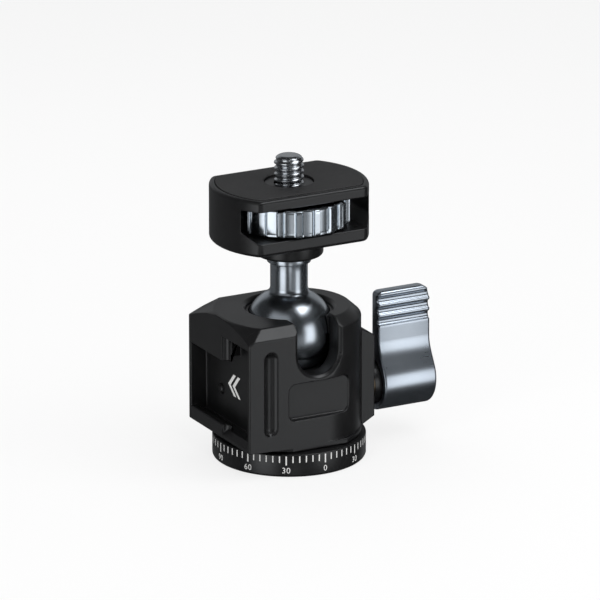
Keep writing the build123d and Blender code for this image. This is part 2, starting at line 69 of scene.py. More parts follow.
def meshFrom(name, points, faces, sharpAngle=32, mend=True):
    # points in millimetres; mending merges the poles and seams and turns the faces outward
    mesh = bpy.data.meshes.new(name)
    spots = np.asarray(points, float).reshape(-1, 3) * mm
    mesh.from_pydata(spots.tolist(), [], np.asarray(faces).tolist())
    if mend:
        work = bmesh.new()
        work.from_mesh(mesh)
        bmesh.ops.remove_doubles(work, verts=work.verts, dist=merge["new"])
        bmesh.ops.dissolve_degenerate(work, edges=work.edges, dist=merge["new"])
        bmesh.ops.recalc_face_normals(work, faces=work.faces)
        work.to_mesh(mesh)
        work.free()
    smoothMesh(mesh, sharpAngle)
    return newObject(name, mesh)


def roundedPath(points, radii, steps=6, closed=True):
    # a corner becomes an arc that touches both its sides: the tangent length is
    # the radius times the cotangent of half the corner's angle
    points = np.asarray(points, float)
    count = len(points)
    out = []
    for k in range(count):
        here, before, after = points[k], points[k - 1], points[(k + 1) % count]
        radius = radii[k] if hasattr(radii, "__len__") else radii
        if radius <= 0 or (not closed and k in (0, count - 1)):
            out.append(here[None])
            continue
        toBefore = (before - here) / np.linalg.norm(before - here)
        toAfter = (after - here) / np.linalg.norm(after - here)
        half = math.acos(np.clip(toBefore @ toAfter, -1, 1)) / 2
        reach = radius / math.tan(half)
        middle = toBefore + toAfter
        centre = here + middle / np.linalg.norm(middle) * radius / math.sin(half)
        first, last = here + toBefore * reach - centre, here + toAfter * reach - centre
        sweep = math.acos(np.clip(first @ last / radius**2, -1, 1))
        t = np.linspace(0, 1, steps + 1)[:, None]
        out.append(centre + (np.sin((1 - t) * sweep) * first + np.sin(t * sweep) * last) / math.sin(sweep))
    return np.concatenate(out)


def lathe(name, profile, steps=128, closed=True):
    # radius and height of each profile point, turned round the upright axis
    profile = np.asarray(profile, float)
    angle = np.linspace(0, 2 * np.pi, steps, endpoint=False)
    radius, height = profile[:, 0][:, None], profile[:, 1][:, None]
    points = np.stack(
        [radius * np.cos(angle), radius * np.sin(angle), height + 0 * angle], axis=-1
    )
    faces = gridFaces(len(profile), steps, closeRows=closed, closeColumns=True)
    return meshFrom(name, points, faces)


# flat faces are joined below the first angle, edges are rounded above the second
# and stay sharp in the shading above the third
soften = {"flat": 0.6, "round": 28, "sharp": 34, "segments": 2}


def softCopy(node, name, width):
    # the CAD solid with its doubles merged and its flat faces joined, then a small edge round
    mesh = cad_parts[node].data.copy()
    mesh.name = name
    mesh.materials.clear()
    work = bmesh.new()
    work.from_mesh(mesh)
    bmesh.ops.remove_doubles(work, verts=work.verts, dist=merge["copied"])
    bmesh.ops.dissolve_limit(
        work, angle_limit=math.radians(soften["flat"]), verts=work.verts, edges=work.edges
    )
    work.to_mesh(mesh)
    work.free()
    smoothMesh(mesh, soften["sharp"])
    piece = newObject(name, mesh)
    bevel = piece.modifiers.new("edgeRound", "BEVEL")
    bevel.width = width * mm
    bevel.segments = soften["segments"]
    bevel.limit_method = "ANGLE"
    bevel.angle_limit = math.radians(soften["round"])
    bevel.use_clamp_overlap = False
    # large faces set the normals, so flat faces shade flat up to their rounded edges
    even = piece.modifiers.new("evenNormals", "WEIGHTED_NORMAL")
    even.keep_sharp = True
    return piece


def place(piece, body, slot, material, *nodes):
    # the piece gets its material and its body, and the CAD nodes it stands for are hidden
    piece.data.materials.clear()
    piece.data.materials.append(material)
    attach(piece, body)
    if nodes:
        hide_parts(*nodes)


def newGroup(name, inputs, outputs):
    group = bpy.data.node_groups.new(name, "ShaderNodeTree")
    for label, kind, value in inputs:
        socket = group.interface.new_socket(label, in_out="INPUT", socket_type=kind)
        socket.default_value = value
    for label, kind in outputs:
        group.interface.new_socket(label, in_out="OUTPUT", socket_type=kind)
    return group, group.nodes.new("NodeGroupInput"), group.nodes.new("NodeGroupOutput")


# noise scales are cycles per metre
texture = {
    "grainDetail": 3, "patchScale": 160, "patchDetail": 4, "maskLow": 0.35, "maskHigh": 0.65, "half": 0.5,
}


def makeGrainGroup():
    # fine grain and wide patches: two noises on Object coordinates, the grain's stretched
    group, entry, leave = newGroup(
        "surfaceGrain",
        [
            ("Scale", "NodeSocketFloat", 5000.0),
            ("Stretch", "NodeSocketVector", (1, 1, 1)),
        ],
        [("Height", "NodeSocketFloat"), ("Mask", "NodeSocketFloat")],
    )
    nodes, links = group.nodes, group.links
    coords = nodes.new("ShaderNodeTexCoord")
    mapping = nodes.new("ShaderNodeMapping")
    noise = nodes.new("ShaderNodeTexNoise")
    noise.inputs["Detail"].default_value = texture["grainDetail"]
    patches = nodes.new("ShaderNodeTexNoise")
    patches.inputs["Scale"].default_value = texture["patchScale"]
    patches.inputs["Detail"].default_value = texture["patchDetail"]
    links.new(coords.outputs["Object"], mapping.inputs["Vector"])
    links.new(entry.outputs["Stretch"], mapping.inputs["Scale"])
    links.new(mapping.outputs["Vector"], noise.inputs["Vector"])
    links.new(entry.outputs["Scale"], noise.inputs["Scale"])
    links.new(coords.outputs["Object"], patches.inputs["Vector"])
    links.new(noise.outputs["Fac"], leave.inputs["Height"])
    links.new(patches.outputs["Fac"], leave.inputs["Mask"])
    return group


def makeBlendGroup():
    # the mask with its contrast raised mixes two colours, and with the grain two roughnesses
    group, entry, leave = newGroup(
        "patchyFinish",
        [
            ("Mask", "NodeSocketFloat", 0.5),
            ("Grain", "NodeSocketFloat", 0.5),
            ("Colour A", "NodeSocketColor", (0.5, 0.5, 0.5, 1)),
            ("Colour B", "NodeSocketColor", (0.5, 0.5, 0.5, 1)),
            ("Rough A", "NodeSocketFloat", 0.3),
            ("Rough B", "NodeSocketFloat", 0.5),
        ],
        [("Colour", "NodeSocketColor"), ("Roughness", "NodeSocketFloat")],
    )
    nodes, links = group.nodes, group.links
    spread = nodes.new("ShaderNodeMapRange")
    spread.inputs["From Min"].default_value = texture["maskLow"]
    spread.inputs["From Max"].default_value = texture["maskHigh"]
    colour = nodes.new("ShaderNodeMix")
    colour.data_type = "RGBA"
    both = nodes.new("ShaderNodeMath")
    both.operation = "MULTIPLY_ADD"
    both.inputs[1].default_value = texture["half"]
    half = nodes.new("ShaderNodeMath")
    half.operation = "MULTIPLY"
    half.inputs[1].default_value = texture["half"]
    rough = nodes.new("ShaderNodeMapRange")
    links.new(entry.outputs["Mask"], spread.inputs["Value"])
    links.new(spread.outputs["Result"], colour.inputs["Factor"])
    links.new(entry.outputs["Colour A"], colour.inputs["A"])
    links.new(entry.outputs["Colour B"], colour.inputs["B"])
    links.new(entry.outputs["Grain"], half.inputs[0])
    links.new(spread.outputs["Result"], both.inputs[0])
    links.new(half.outputs[0], both.inputs[2])
    links.new(both.outputs[0], rough.inputs["Value"])
    links.new(entry.outputs["Rough A"], rough.inputs["To Min"])
    links.new(entry.outputs["Rough B"], rough.inputs["To Max"])
    links.new(colour.outputs["Result"], leave.inputs["Colour"])
    links.new(rough.outputs["Result"], leave.inputs["Roughness"])
    return group


grainGroup = makeGrainGroup()
blendGroup = makeBlendGroup()


def makeFinish(name, look):
    # grain and patches feed colour, roughness and a small bump; the rest sits on the shader
    material = bpy.data.materials.new(name)
    material.use_nodes = True
    nodes, links = material.node_tree.nodes, material.node_tree.links
    shader = nodes["Principled BSDF"]
    grain = nodes.new("ShaderNodeGroup")
    grain.node_tree = grainGroup
    grain.inputs["Scale"].default_value = look["grainScale"]
    grain.inputs["Stretch"].default_value = look.get("stretch", (1, 1, 1))
    finish = nodes.new("ShaderNodeGroup")
    finish.node_tree = blendGroup
    finish.inputs["Colour A"].default_value = (*look["colour"], 1)
    finish.inputs["Colour B"].default_value = (*look["colourB"], 1)
    finish.inputs["Rough A"].default_value = look["rough"][0]
    finish.inputs["Rough B"].default_value = look["rough"][1]
    bump = nodes.new("ShaderNodeBump")
    bump.inputs["Strength"].default_value = look["bump"]
    bump.inputs["Distance"].default_value = look["bumpDepth"] * mm
    links.new(grain.outputs["Mask"], finish.inputs["Mask"])
    links.new(grain.outputs["Height"], finish.inputs["Grain"])
    links.new(grain.outputs["Height"], bump.inputs["Height"])
    links.new(finish.outputs["Colour"], shader.inputs["Base Color"])
    links.new(finish.outputs["Roughness"], shader.inputs["Roughness"])
    links.new(bump.outputs["Normal"], shader.inputs["Normal"])
    shader.inputs["Metallic"].default_value = look.get("metal", 0)
    shader.inputs["Specular IOR Level"].default_value = look.get("specular", 0.5)
    return material


blackAnodised = makeFinish("blackAnodised", {
    "colour": (0.0062, 0.0062, 0.0066), "colourB": (0.0088, 0.0088, 0.0093),
    "rough": (0.30, 0.38), "grainScale": 9000, "bump": 0.16, "bumpDepth": 0.01, "specular": 0.55,
})
blueSteel = makeFinish("blueSteel", {
    "colour": (0.50, 0.55, 0.61), "colourB": (0.55, 0.60, 0.66), "metal": 1,
    "rough": (0.27, 0.29), "grainScale": 1400, "stretch": (0.05, 1, 1),
    "bump": 0.012, "bumpDepth": 0.003,
})
ballSteel = makeFinish("ballSteel", {
    "colour": (0.50, 0.54, 0.585), "colourB": (0.53, 0.57, 0.615), "metal": 1,
    "rough": (0.22, 0.25), "grainScale": 2500, "stretch": (1, 1, 0.06),
    "bump": 0.02, "bumpDepth": 0.003,
})
wheelSteel = makeFinish("wheelSteel", {
    "colour": (0.60, 0.65, 0.70), "colourB": (0.66, 0.71, 0.76), "metal": 1,
    "rough": (0.18, 0.24), "grainScale": 2500, "stretch": (1, 1, 0.08),
    "bump": 0.03, "bumpDepth": 0.004,
})
brightSteel = makeFinish("brightSteel", {
    "colour": (0.56, 0.58, 0.61), "colourB": (0.64, 0.66, 0.68), "metal": 1,
    "rough": (0.16, 0.26), "grainScale": 3000, "bump": 0.04, "bumpDepth": 0.005,
})
rubberPad = makeFinish("rubberPad", {
    "colour": (0.016, 0.016, 0.0165), "colourB": (0.021, 0.021, 0.0215),
    "rough": (0.55, 0.72), "grainScale": 5200, "bump": 0.35, "bumpDepth": 0.03,
})
acetal = makeFinish("acetal", {
    "colour": (0.012, 0.012, 0.013), "colourB": (0.016, 0.016, 0.017),
    "rough": (0.34, 0.46), "grainScale": 4000, "bump": 0.08, "bumpDepth": 0.02,
})
bronze = makeFinish("bronze", {
    "colour": (0.10, 0.075, 0.05), "colourB": (0.075, 0.055, 0.035), "metal": 1,
    "rough": (0.25, 0.4), "grainScale": 3000, "bump": 0.05, "bumpDepth": 0.02,
})
whitePaint = makeFinish("whitePaint", {
    "colour": (0.78, 0.78, 0.77), "colourB": (0.68, 0.68, 0.67),
    "rough": (0.45, 0.6), "grainScale": 9000, "bump": 0.1, "bumpDepth": 0.02,
})
print("finishes made")


foot = {
    "radius": 16.4, "height": 5.0, "lowEdge": 0.55, "highEdge": 0.33, "hole": 4.02,
    "flangeHole": 7.02, "flangeDepth": 1.6, "ring": (9.6, 10.6, 0.4), "fine": 0.1, "flangeEdge": 0.15,
    "arcSteps": 5, "steps": 192,
}


def makeFoot():
    # turned about the upright axis, with the spindle's hole and a ring groove underneath
    ringIn, ringOut, ringDeep = foot["ring"]
    corners = [
        (foot["hole"], foot["height"]), (foot["hole"], foot["flangeDepth"]),
        (foot["flangeHole"], foot["flangeDepth"]), (foot["flangeHole"], 0),
        (ringIn, 0), (ringIn, ringDeep), (ringOut, ringDeep), (ringOut, 0),
        (foot["radius"], 0), (foot["radius"], foot["height"]),
    ]
    fine = foot["fine"]
    radii = [0, 0, fine, foot["flangeEdge"], fine, 0, 0, fine, foot["lowEdge"], foot["highEdge"]]
    return lathe("panFoot", roundedPath(corners, radii, foot["arcSteps"]), foot["steps"])


place(makeFoot(), "base", "black_anodised", blackAnodised, "pan_base")

scale = {
    "step": 5, "longEvery": 30, "width": 0.26, "longWiden": 1.15, "top": 4.72, "short": 1.45,
    "long": 2.0, "facets": 3, "proud": 0.012, "digitHeight": 1.3, "digitLow": 0.95,
    "capShare": 0.72, "letterSpace": 1.08, "curveSteps": 3,
}


def wrapRound(across, height, radius):
    # distance across becomes an angle round the rim, counted from the front to the right
    angle = across / radius
    return np.stack([radius * np.sin(angle), -radius * np.cos(angle), height], axis=-1)


def makeTicks():
    # one upright strip per division, bent to the rim in a few facets
    radius = foot["radius"] + scale["proud"]
    degrees = np.arange(0, 360, scale["step"])
    isLong = degrees % scale["longEvery"] == 0
    length = np.where(isLong, scale["long"], scale["short"])
    width = np.where(isLong, scale["width"] * scale["longWiden"], scale["width"])
    u = np.linspace(-0.5, 0.5, scale["facets"] + 1)
    v = np.linspace(0, 1, 2)
    centre = np.radians(degrees) * radius
    across = centre[:, None, None] + width[:, None, None] * u[None, :, None] + 0 * v
    height = scale["top"] - length[:, None, None] * v[None, None, :] + 0 * u[None, :, None]
    points = wrapRound(across, height, radius)
    one = gridFaces(len(u), len(v))
    first = np.arange(len(degrees)) * len(u) * len(v)
    faces = (one[None] + first[:, None, None]).reshape(-1, 4)
    return meshFrom("scaleTicks", points, faces[:, ::-1], mend=False)


def flatText(words, height):
    # the built-in font as a flat mesh, centred left to right, standing on zero
    curve = bpy.data.curves.new("digits", "FONT")
    curve.body = words
    curve.size = height / scale["capShare"]
    curve.resolution_u = scale["curveSteps"]
    curve.space_character = scale["letterSpace"]
    holder = bpy.data.objects.new("digits", curve)
    mesh = bpy.data.meshes.new_from_object(holder)
    co = np.zeros(len(mesh.vertices) * 3)
    mesh.vertices.foreach_get("co", co)
    co = co.reshape(-1, 3)
    co[:, 0] -= (co[:, 0].min() + co[:, 0].max()) / 2
    faces = [tuple(p.vertices) for p in mesh.polygons]
    bpy.data.objects.remove(holder)
    bpy.data.curves.remove(curve)
    bpy.data.meshes.remove(mesh)
    return co[:, :2], faces


def makeDigits():
    # numbers count up to half a turn both ways from the front, each bent round the rim
    radius = foot["radius"] + scale["proud"]
    points, faces, start = [], [], 0
    for degrees in range(0, 360, scale["longEvery"]):
        label = str(min(degrees, 360 - degrees))
        flat, own = flatText(label, scale["digitHeight"])
        across = flat[:, 0] + math.radians(degrees) * radius
        points.append(wrapRound(across, flat[:, 1] + scale["digitLow"], radius))
        faces += [tuple(i + start for i in face) for face in own]
        start += len(flat)
    mesh = bpy.data.meshes.new("scaleDigits")
    mesh.from_pydata((np.concatenate(points) * mm).tolist(), [], faces)
    return newObject("scaleDigits", mesh)


place(makeTicks(), "base", "bright_steel", whitePaint)
place(makeDigits(), "base", "bright_steel", whitePaint)
print("foot and scale made")


housing = {"edge": 0.24, "slotFloor": -13.0}
housingShell = softCopy("housing", "housingShell", housing["edge"])
place(housingShell, "housing", "black_anodised", blackAnodised, "housing")

mark = {
    "proud": 0.012, "tip": 3.0, "height": 16.7, "stroke": 1.1, "step": 2.0,
    "upper": (2.4, 2.6), "lower": (2.6, 2.15),
}


def makeChevrons():
    # two bent strokes that point along the slot
    x = housing["slotFloor"] - mark["proud"]
    points, faces = [], []
    for k in range(2):
        tip, middle, stroke = mark["tip"] - k * mark["step"], mark["height"], mark["stroke"]
        (back, rise), (lowBack, drop) = mark["upper"], mark["lower"]
        outline = [
            (tip, middle), (tip - back, middle + rise), (tip - back - stroke, middle + rise),
            (tip - stroke, middle), (tip - lowBack - stroke, middle - drop),
            (tip - lowBack, middle - drop),
        ]
        start = len(points)
        points += [(x, y, z) for y, z in outline]
        faces += [[start, start + 1, start + 2, start + 3], [start, start + 3, start + 4, start + 5]]
    return meshFrom("slideMark", points, faces, mend=False)


place(makeChevrons(), "housing", "bright_steel", whitePaint)
print("housing made")


ball = {
    "radius": 9.6, "height": 27.6, "stem": 4.0, "neck": 1.8, "ring": 4.7, "ringLow": 42.9,
    "ringHigh": 44.55, "spigot": 2.5, "top": 47.1, "stemRun": 1.5, "stemCorner": 0.15, "edge": 0.2,
    "ballSteps": 64, "neckSteps": 12, "arcSteps": 4,
}


def makeBall():
    # the neck's arc touches ball and stem: its centre lies at ball radius plus neck radius
    # from the ball's centre, and at stem radius plus neck radius from the axis
    reach = ball["radius"] + ball["neck"]
    across = ball["stem"] + ball["neck"]
    rise = math.sqrt(reach**2 - across**2)
    touch = math.atan2(rise, across)
    t = np.linspace(-np.pi / 2, touch, ball["ballSteps"])
    lower = np.stack([ball["radius"] * np.cos(t), ball["height"] + ball["radius"] * np.sin(t)], axis=-1)
    lower[0, 0] = 0
    s = np.linspace(touch + np.pi, np.pi, ball["neckSteps"])[1:]
    neck = np.stack(
        [across + ball["neck"] * np.cos(s), ball["height"] + rise + ball["neck"] * np.sin(s)], axis=-1
    )
    upper = roundedPath(
        [
            (ball["stem"], ball["ringLow"] - ball["stemRun"]), (ball["stem"], ball["ringLow"]),
            (ball["ring"], ball["ringLow"]), (ball["ring"], ball["ringHigh"]),
            (ball["spigot"], ball["ringHigh"]), (ball["spigot"], ball["top"]), (0, ball["top"]),
        ],
        [0, ball["stemCorner"], ball["edge"], ball["edge"], 0, ball["edge"], 0],
        ball["arcSteps"], closed=False,
    )
    return lathe("ballAndStem", np.concatenate([lower, neck, upper]), closed=False)


place(makeBall(), "ball", "steel_blue", ballSteel, "ball_stem")
print("ball made")


lever = {
    "start": 19.8, "end": 32.5, "hub": 6.5, "axis": 13.1, "front": 3.2, "thick": 3.0, "top": 33.6,
    "blend": 22.5, "waist": 2.6, "backAngle": 35, "frontAngle": 25, "tip": 0.8, "edge": 0.55,
    "ridges": 3, "pitch": 2.4, "first": 31.75, "grooveRadius": 0.9, "grooveDepth": 0.7,
    "crest": 0.45, "crestDrop": 0.06, "innerCorner": 1.2, "outerCorner": 2.3,
    "recess": 5.2, "recessDepth": 1.2, "seat": 2.85, "seatDepth": 3.2, "pocketEdge": 0.15,
    "sharp": 30, "waistSteps": 20, "tipSteps": 8, "ridgeSteps": 90, "hubSteps": 90, "edgeSteps": 6,
    "pocketSteps": 64, "cornerCuts": 12, "lastCut": 1.5, "join": 0.05,
}


def bezier(a, b, c, d):
    # a cubic curve from a to d that leaves toward b and arrives from c
    t = np.linspace(0, 1, lever["waistSteps"])[:, None]
    a, b, c, d = (np.array(p) for p in (a, b, c, d))
    return (1 - t)**3 * a + 3 * (1 - t)**2 * t * b + 3 * (1 - t) * t**2 * c + t**3 * d


def leverOutline():
    # anticlockwise in (y, z): up the back, over the tip, down the ridged front, round the hub
    radius, axis, waist = lever["hub"], lever["axis"], lever["waist"]
    back = lever["thick"] - lever["front"]
    backAngle, frontAngle = math.radians(lever["backAngle"]), math.radians(lever["frontAngle"])
    backPoint = (radius * math.cos(backAngle), axis + radius * math.sin(backAngle))
    frontPoint = (-radius * math.cos(frontAngle), axis + radius * math.sin(frontAngle))
    climb = bezier(
        backPoint,
        (backPoint[0] - waist * math.sin(backAngle), backPoint[1] + waist * math.cos(backAngle)),
        (back, lever["blend"] - waist), (back, lever["blend"]),
    )
    tip = roundedPath(
        [(back, lever["blend"]), (back, lever["top"]), (-lever["front"], lever["top"]),
         (-lever["front"], lever["blend"])],
        [0, lever["tip"], lever["tip"], 0], lever["tipSteps"], closed=False,
    )[1:-1]
    fall = bezier(
        (-lever["front"], lever["blend"]), (-lever["front"], lever["blend"] - waist),
        (frontPoint[0] + waist * math.sin(frontAngle), frontPoint[1] + waist * math.cos(frontAngle)),
        frontPoint,
    )
    join = lever["join"]
    straight = np.linspace(
        lever["top"] - lever["tip"] - join, lever["blend"] + join, lever["ridgeSteps"]
    )
    flat = lever["grooveRadius"] - lever["grooveDepth"]
    reach = math.sqrt(lever["grooveRadius"]**2 - flat**2)
    depth = np.zeros_like(straight)
    for k in range(lever["ridges"]):
        off = straight - (lever["first"] - k * lever["pitch"])
        cut = np.sqrt(np.maximum(lever["grooveRadius"]**2 - off**2, 0)) - flat
        # the crest beside each groove falls off softly
        near = np.clip(1 - (np.abs(off) - reach) / lever["crest"], 0, 1)
        depth = np.maximum(depth, np.maximum(cut, lever["crestDrop"] * near**2))
    ridged = np.stack([-lever["front"] + depth, straight], axis=-1)
    turn = np.linspace(math.pi - frontAngle, 2 * math.pi + backAngle, lever["hubSteps"])[1:-1]
    hub = np.stack([radius * np.cos(turn), axis + radius * np.sin(turn)], axis=-1)
    return np.concatenate([climb, tip, ridged, fall, hub])


def outwardNormals(outline):
    # at right angles to the line between each point's neighbours
    ahead = np.roll(outline, -1, axis=0) - np.roll(outline, 1, axis=0)
    normal = np.stack([ahead[:, 1], -ahead[:, 0]], axis=-1)
    return normal / np.maximum(np.linalg.norm(normal, axis=1, keepdims=True), 1e-9)


def cornerShift(height, radius):
    # how far a quarter circle of the radius lies inside the corner at this height
    above = np.clip((height - (lever["top"] - radius)) / radius, 0, 1)
    return radius * (1 - np.sqrt(1 - above**2))


def makeLever():
    # the side outline carried along the shaft, drawn in by a quarter circle at both ends
    outline = leverOutline()
    normal = outwardNormals(outline)
    t = np.linspace(0, np.pi / 2, lever["edgeSteps"])
    edge = lever["edge"]
    along = np.concatenate([
        lever["start"] + edge * (1 - np.cos(t)),
        lever["end"] - edge * (1 - np.cos(t[::-1])),
    ])
    drawn = np.concatenate([edge * (1 - np.sin(t)), edge * (1 - np.sin(t[::-1]))])
    rings = outline[None] - normal[None] * drawn[:, None, None]
    points = np.concatenate(
        [np.broadcast_to(along[:, None, None], rings.shape[:2] + (1,)), rings], axis=-1
    )
    count = len(outline)
    faces = gridFaces(len(along), count, closeColumns=True)
    mesh = bpy.data.meshes.new("clampLever")
    mesh.from_pydata((points.reshape(-1, 3) * mm).tolist(), [], faces.tolist())
    work = bmesh.new()
    work.from_mesh(mesh)
    work.verts.ensure_lookup_table()
    addCap(work, work.verts[:count], lever["start"], lever["recess"], lever["recessDepth"])
    work.verts.ensure_lookup_table()
    last = (len(along) - 1) * count
    addCap(work, work.verts[last:last + count], lever["end"], lever["seat"], -lever["seatDepth"])
    # level cuts give the end faces rows that can follow the round corners
    rise = np.sin(np.linspace(0, lever["lastCut"], lever["cornerCuts"]))
    for level in lever["top"] - lever["outerCorner"] * (1 - rise):
        bmesh.ops.bisect_plane(
            work, geom=work.verts[:] + work.edges[:] + work.faces[:], dist=merge["new"],
            plane_co=(0, 0, level * mm), plane_no=(0, 0, 1),
        )
    bmesh.ops.recalc_face_normals(work, faces=work.faces)
    work.to_mesh(mesh)
    work.free()
    roundCorners(mesh)
    smoothMesh(mesh, lever["sharp"])
    return newObject("clampLever", mesh)


def roundCorners(mesh):
    # each point moves along x toward the middle by its share of the two corners' shifts
    spots = np.zeros(len(mesh.vertices) * 3)
    mesh.vertices.foreach_get("co", spots)
    spots = spots.reshape(-1, 3) / mm
    share = np.clip((spots[:, 0] - lever["start"]) / (lever["end"] - lever["start"]), 0, 1)
    spots[:, 0] += cornerShift(spots[:, 2], lever["innerCorner"]) * (1 - share)
    spots[:, 0] -= cornerShift(spots[:, 2], lever["outerCorner"]) * share
    mesh.vertices.foreach_set("co", (spots * mm).ravel())
    mesh.update()


def addCap(work, rim, x, radius, depth):
    # a flat end with a round pocket sunk into it, its mouth cut off at an angle
    count, edge = lever["pocketSteps"], lever["pocketEdge"]
    turn = np.linspace(0, 2 * np.pi, count, endpoint=False)
    circle = []
    for r, d in ((radius + edge, 0), (radius, edge * np.sign(depth)), (radius, depth)):
        across, height = r * np.cos(turn), lever["axis"] + r * np.sin(turn)
        circle.append([work.verts.new(((x + d) * mm, y * mm, z * mm)) for y, z in zip(across, height)])
    for outer, inner in zip(circle, circle[1:]):
        for k in range(count):
            work.faces.new((outer[k], outer[(k + 1) % count], inner[(k + 1) % count], inner[k]))
    work.faces.new(circle[-1])
    edges = []
    for loop in (list(rim), circle[0]):
        for k in range(len(loop)):
            pair = (loop[k], loop[(k + 1) % len(loop)])
            edges.append(work.edges.get(pair) or work.edges.new(pair))
    bmesh.ops.triangle_fill(work, use_beauty=True, use_dissolve=False, edges=edges)


place(makeLever(), "lever", "steel_blue", blueSteel, "clamp_lever")
print("lever made")


platform = {"edge": 0.25, "padEdge": 0.12}
platformShell = softCopy("platform", "platformShell", platform["edge"])
place(platformShell, "platform", "black_anodised", blackAnodised, "platform")
topPad = softCopy("top_pad", "topPad", platform["padEdge"])
place(topPad, "platform", "rubber_pad", rubberPad, "top_pad")

collar = {
    "radius": 7.3, "low": 44.6, "high": 48.28, "edge": 0.6, "bore": 2.55, "boreEdge": 0.1,
    "upperEdge": 0.05, "arcSteps": 6,
}


def makeCollar():
    # a turned flange round the stem's spigot, rounded where it faces down
    corners = [
        (collar["bore"], collar["low"]), (collar["radius"], collar["low"]),
        (collar["radius"], collar["high"]), (collar["bore"], collar["high"]),
    ]
    radii = [collar["boreEdge"], collar["edge"], collar["upperEdge"], 0]
    return lathe("stemCollar", roundedPath(corners, radii, collar["arcSteps"]))


place(makeCollar(), "platform", "black_anodised", blackAnodised, "stem_collar")

wheel = {
    "radius": 13.0, "low": 51.7, "high": 57.6, "edge": 0.6, "flutes": 20, "fluteWidth": 0.72,
    "fluteDepth": 0.8, "flank": 0.24, "lip": 0.6, "lipStart": 0.25, "fluteSteps": 24, "hub": 5.1,
    "hubHigh": 58.8, "bore": 3.02, "hubCorner": 0.1, "hubEdge": 0.25, "boreEdge": 0.1,
    "arcSteps": 5, "rimRows": 12, "sharp": 28,
}


def smoothStep(share):
    # from nothing to one, level at both ends
    return share * share * (3 - 2 * share)


def makeWheel():
    # rim radius falls by the flute's depth over part of each division, with sloped flanks;
    # the flutes run out before the upper and lower faces
    steps = wheel["flutes"] * wheel["fluteSteps"]
    angle = np.linspace(0, 2 * np.pi, steps, endpoint=False)
    share = (angle * wheel["flutes"] / (2 * np.pi)) % 1
    off = np.abs(share - 0.5) * 2 / wheel["fluteWidth"]
    flute = np.clip((1 - off) / wheel["flank"], 0, 1)
    flute = smoothStep(flute)
    profile = roundedPath(
        [
            (wheel["bore"], wheel["low"]), (wheel["radius"], wheel["low"]),
            (wheel["radius"], wheel["high"]), (wheel["hub"], wheel["high"]),
            (wheel["hub"], wheel["hubHigh"]), (wheel["bore"], wheel["hubHigh"]),
        ],
        [0, wheel["edge"], wheel["edge"], wheel["hubCorner"], wheel["hubEdge"], wheel["boreEdge"]],
        wheel["arcSteps"],
    )
    # the rim gets rows of its own between the arcs of its lower and upper edge
    rim = np.linspace(wheel["low"] + wheel["edge"], wheel["high"] - wheel["edge"], wheel["rimRows"] + 2)
    rows = np.stack([np.full(wheel["rimRows"], wheel["radius"]), rim[1:-1]], axis=-1)
    lowerEnd = wheel["arcSteps"] + 2
    profile = np.concatenate([profile[:lowerEnd], rows, profile[lowerEnd:]])
    radius, height = profile[:, 0][:, None], profile[:, 1][:, None]
    fromEnd = np.minimum(height - wheel["low"], wheel["high"] - height)
    onRim = radius > wheel["radius"] - 1
    reach = np.clip((fromEnd + wheel["lipStart"]) / wheel["lip"], 0, 1) * onRim
    turned = radius - wheel["fluteDepth"] * flute * reach
    points = np.stack([turned * np.cos(angle), turned * np.sin(angle), height + 0 * angle], axis=-1)
    return meshFrom("thumbWheel", points, gridFaces(len(profile), steps, True, True), wheel["sharp"])


place(makeWheel(), "wheel", "steel_blue", wheelSteel, "thumb_wheel")

stud = {
    "radius": 3.175, "root": 2.72, "pitch": 1.27, "low": 57.0, "top": 66.3,
    "dome": 1.5, "drawIn": 1.6, "flank": 2.5, "rootFlat": 0.12, "topShare": 0.8,
    "steps": 96, "rows": 190, "sharp": 50,
}


def makeStud():
    # a single-start screw: the radius is a softened triangle wave of height over pitch less
    # turn, between root and crest, and near the top an arc draws the crest in
    steps = stud["steps"]
    angle = np.linspace(0, 2 * np.pi, steps, endpoint=False)
    height = np.linspace(stud["low"], stud["top"], stud["rows"])[:, None]
    phase = (height / stud["pitch"] - angle / (2 * np.pi)) % 1
    wave = 0.5 - np.abs(phase - 0.5)
    ridge = smoothStep(np.clip(wave * stud["flank"] - stud["rootFlat"], 0, 1))
    left = (stud["top"] - height) / stud["dome"]
    closeIn = np.sqrt(np.clip(1 - (1 - np.clip(left, 0, 1))**2, 0, 1))
    crest = stud["radius"] - stud["drawIn"] * (1 - closeIn)
    root = np.minimum(stud["root"], crest)
    radius = root + (crest - root) * ridge
    body = np.stack([radius * np.cos(angle), radius * np.sin(angle), height + 0 * angle], axis=-1)
    shrink = np.array([stud["topShare"], 0.0])[:, None]
    top = np.stack([
        body[-1, :, 0] * shrink, body[-1, :, 1] * shrink, stud["top"] + 0 * shrink * angle,
    ], axis=-1)
    bottom = np.stack([
        body[0, :, 0] * 0, body[0, :, 1] * 0, np.full(steps, stud["low"]),
    ], axis=-1)[None]
    points = np.concatenate([bottom, body, top])
    return meshFrom("cameraStud", points, gridFaces(len(points), steps, False, True), stud["sharp"])


place(makeStud(), "wheel", "bright_steel", brightSteel, "camera_stud")

ring = {
    "inner": 3.2, "outer": 5.15, "low": 58.8, "high": 60.25, "lowEdge": 0.05, "outerEdge": 0.15,
    "innerEdge": 0.1, "arcSteps": 4, "steps": 96,
}


def makeRing():
    # the black face ring that lies on the wheel's hub round the stud
    corners = [
        (ring["inner"], ring["low"]), (ring["outer"], ring["low"]),
        (ring["outer"], ring["high"]), (ring["inner"], ring["high"]),
    ]
    radii = [ring["lowEdge"], ring["lowEdge"], ring["outerEdge"], ring["innerEdge"]]
    return lathe("studRing", roundedPath(corners, radii, ring["arcSteps"]), ring["steps"])


place(makeRing(), "wheel", "black_anodised", blackAnodised)
print("platform made")


